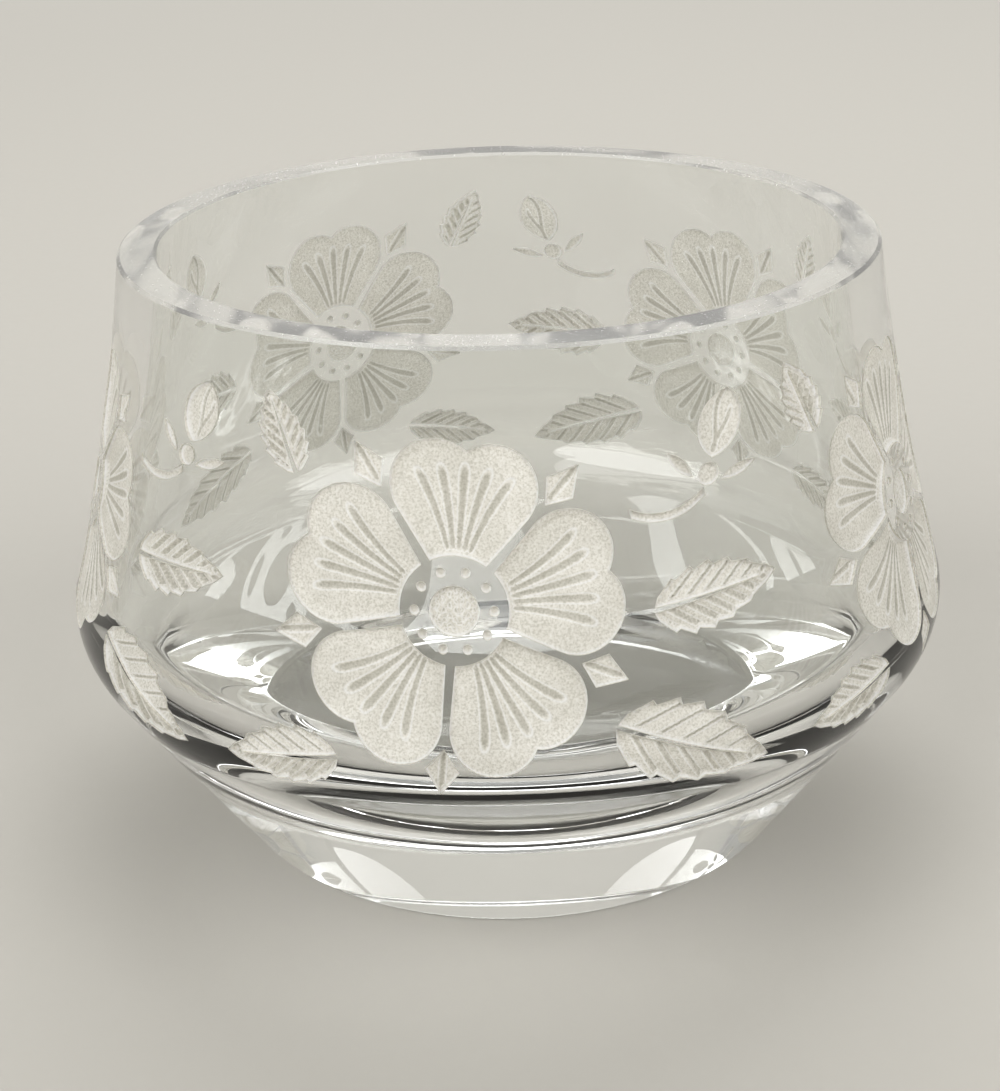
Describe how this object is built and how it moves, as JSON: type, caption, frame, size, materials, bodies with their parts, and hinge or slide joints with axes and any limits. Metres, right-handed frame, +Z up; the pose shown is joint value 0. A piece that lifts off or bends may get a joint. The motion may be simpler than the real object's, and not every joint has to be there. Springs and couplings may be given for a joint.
{
  "type": "rose bowl vase",
  "caption": "Thick clear glass rose bowl with a tapered solid foot, rounded belly and flared wall, carved with frosted roses, leaves and buds.",
  "frame": {"origin": "centre of the flat base, on the surface that the bowl stands on", "axes": "+Z up along the bowl's axis; -Y faces the first garland"},
  "size_m": [0.1773, 0.1774, 0.1205],
  "materials": {
    "clear_glass": "polished clear glass",
    "frosted_glass": "sand-carved frosted glass"
  },
  "bodies": {
    "root": {"glass_bowl": "clear_glass", "frosted_rose_1": "frosted_glass", "frosted_rose_2": "frosted_glass", "frosted_rose_3": "frosted_glass", "frosted_rose_4": "frosted_glass", "frosted_rose_5": "frosted_glass", "frosted_leaves_1": "frosted_glass", "frosted_leaves_2": "frosted_glass", "frosted_leaves_3": "frosted_glass", "frosted_leaves_4": "frosted_glass", "frosted_leaves_5": "frosted_glass", "frosted_bud_1": "frosted_glass", "frosted_bud_2": "frosted_glass", "frosted_bud_3": "frosted_glass", "frosted_bud_4": "frosted_glass", "frosted_bud_5": "frosted_glass"}
  },
  "joints": []
}
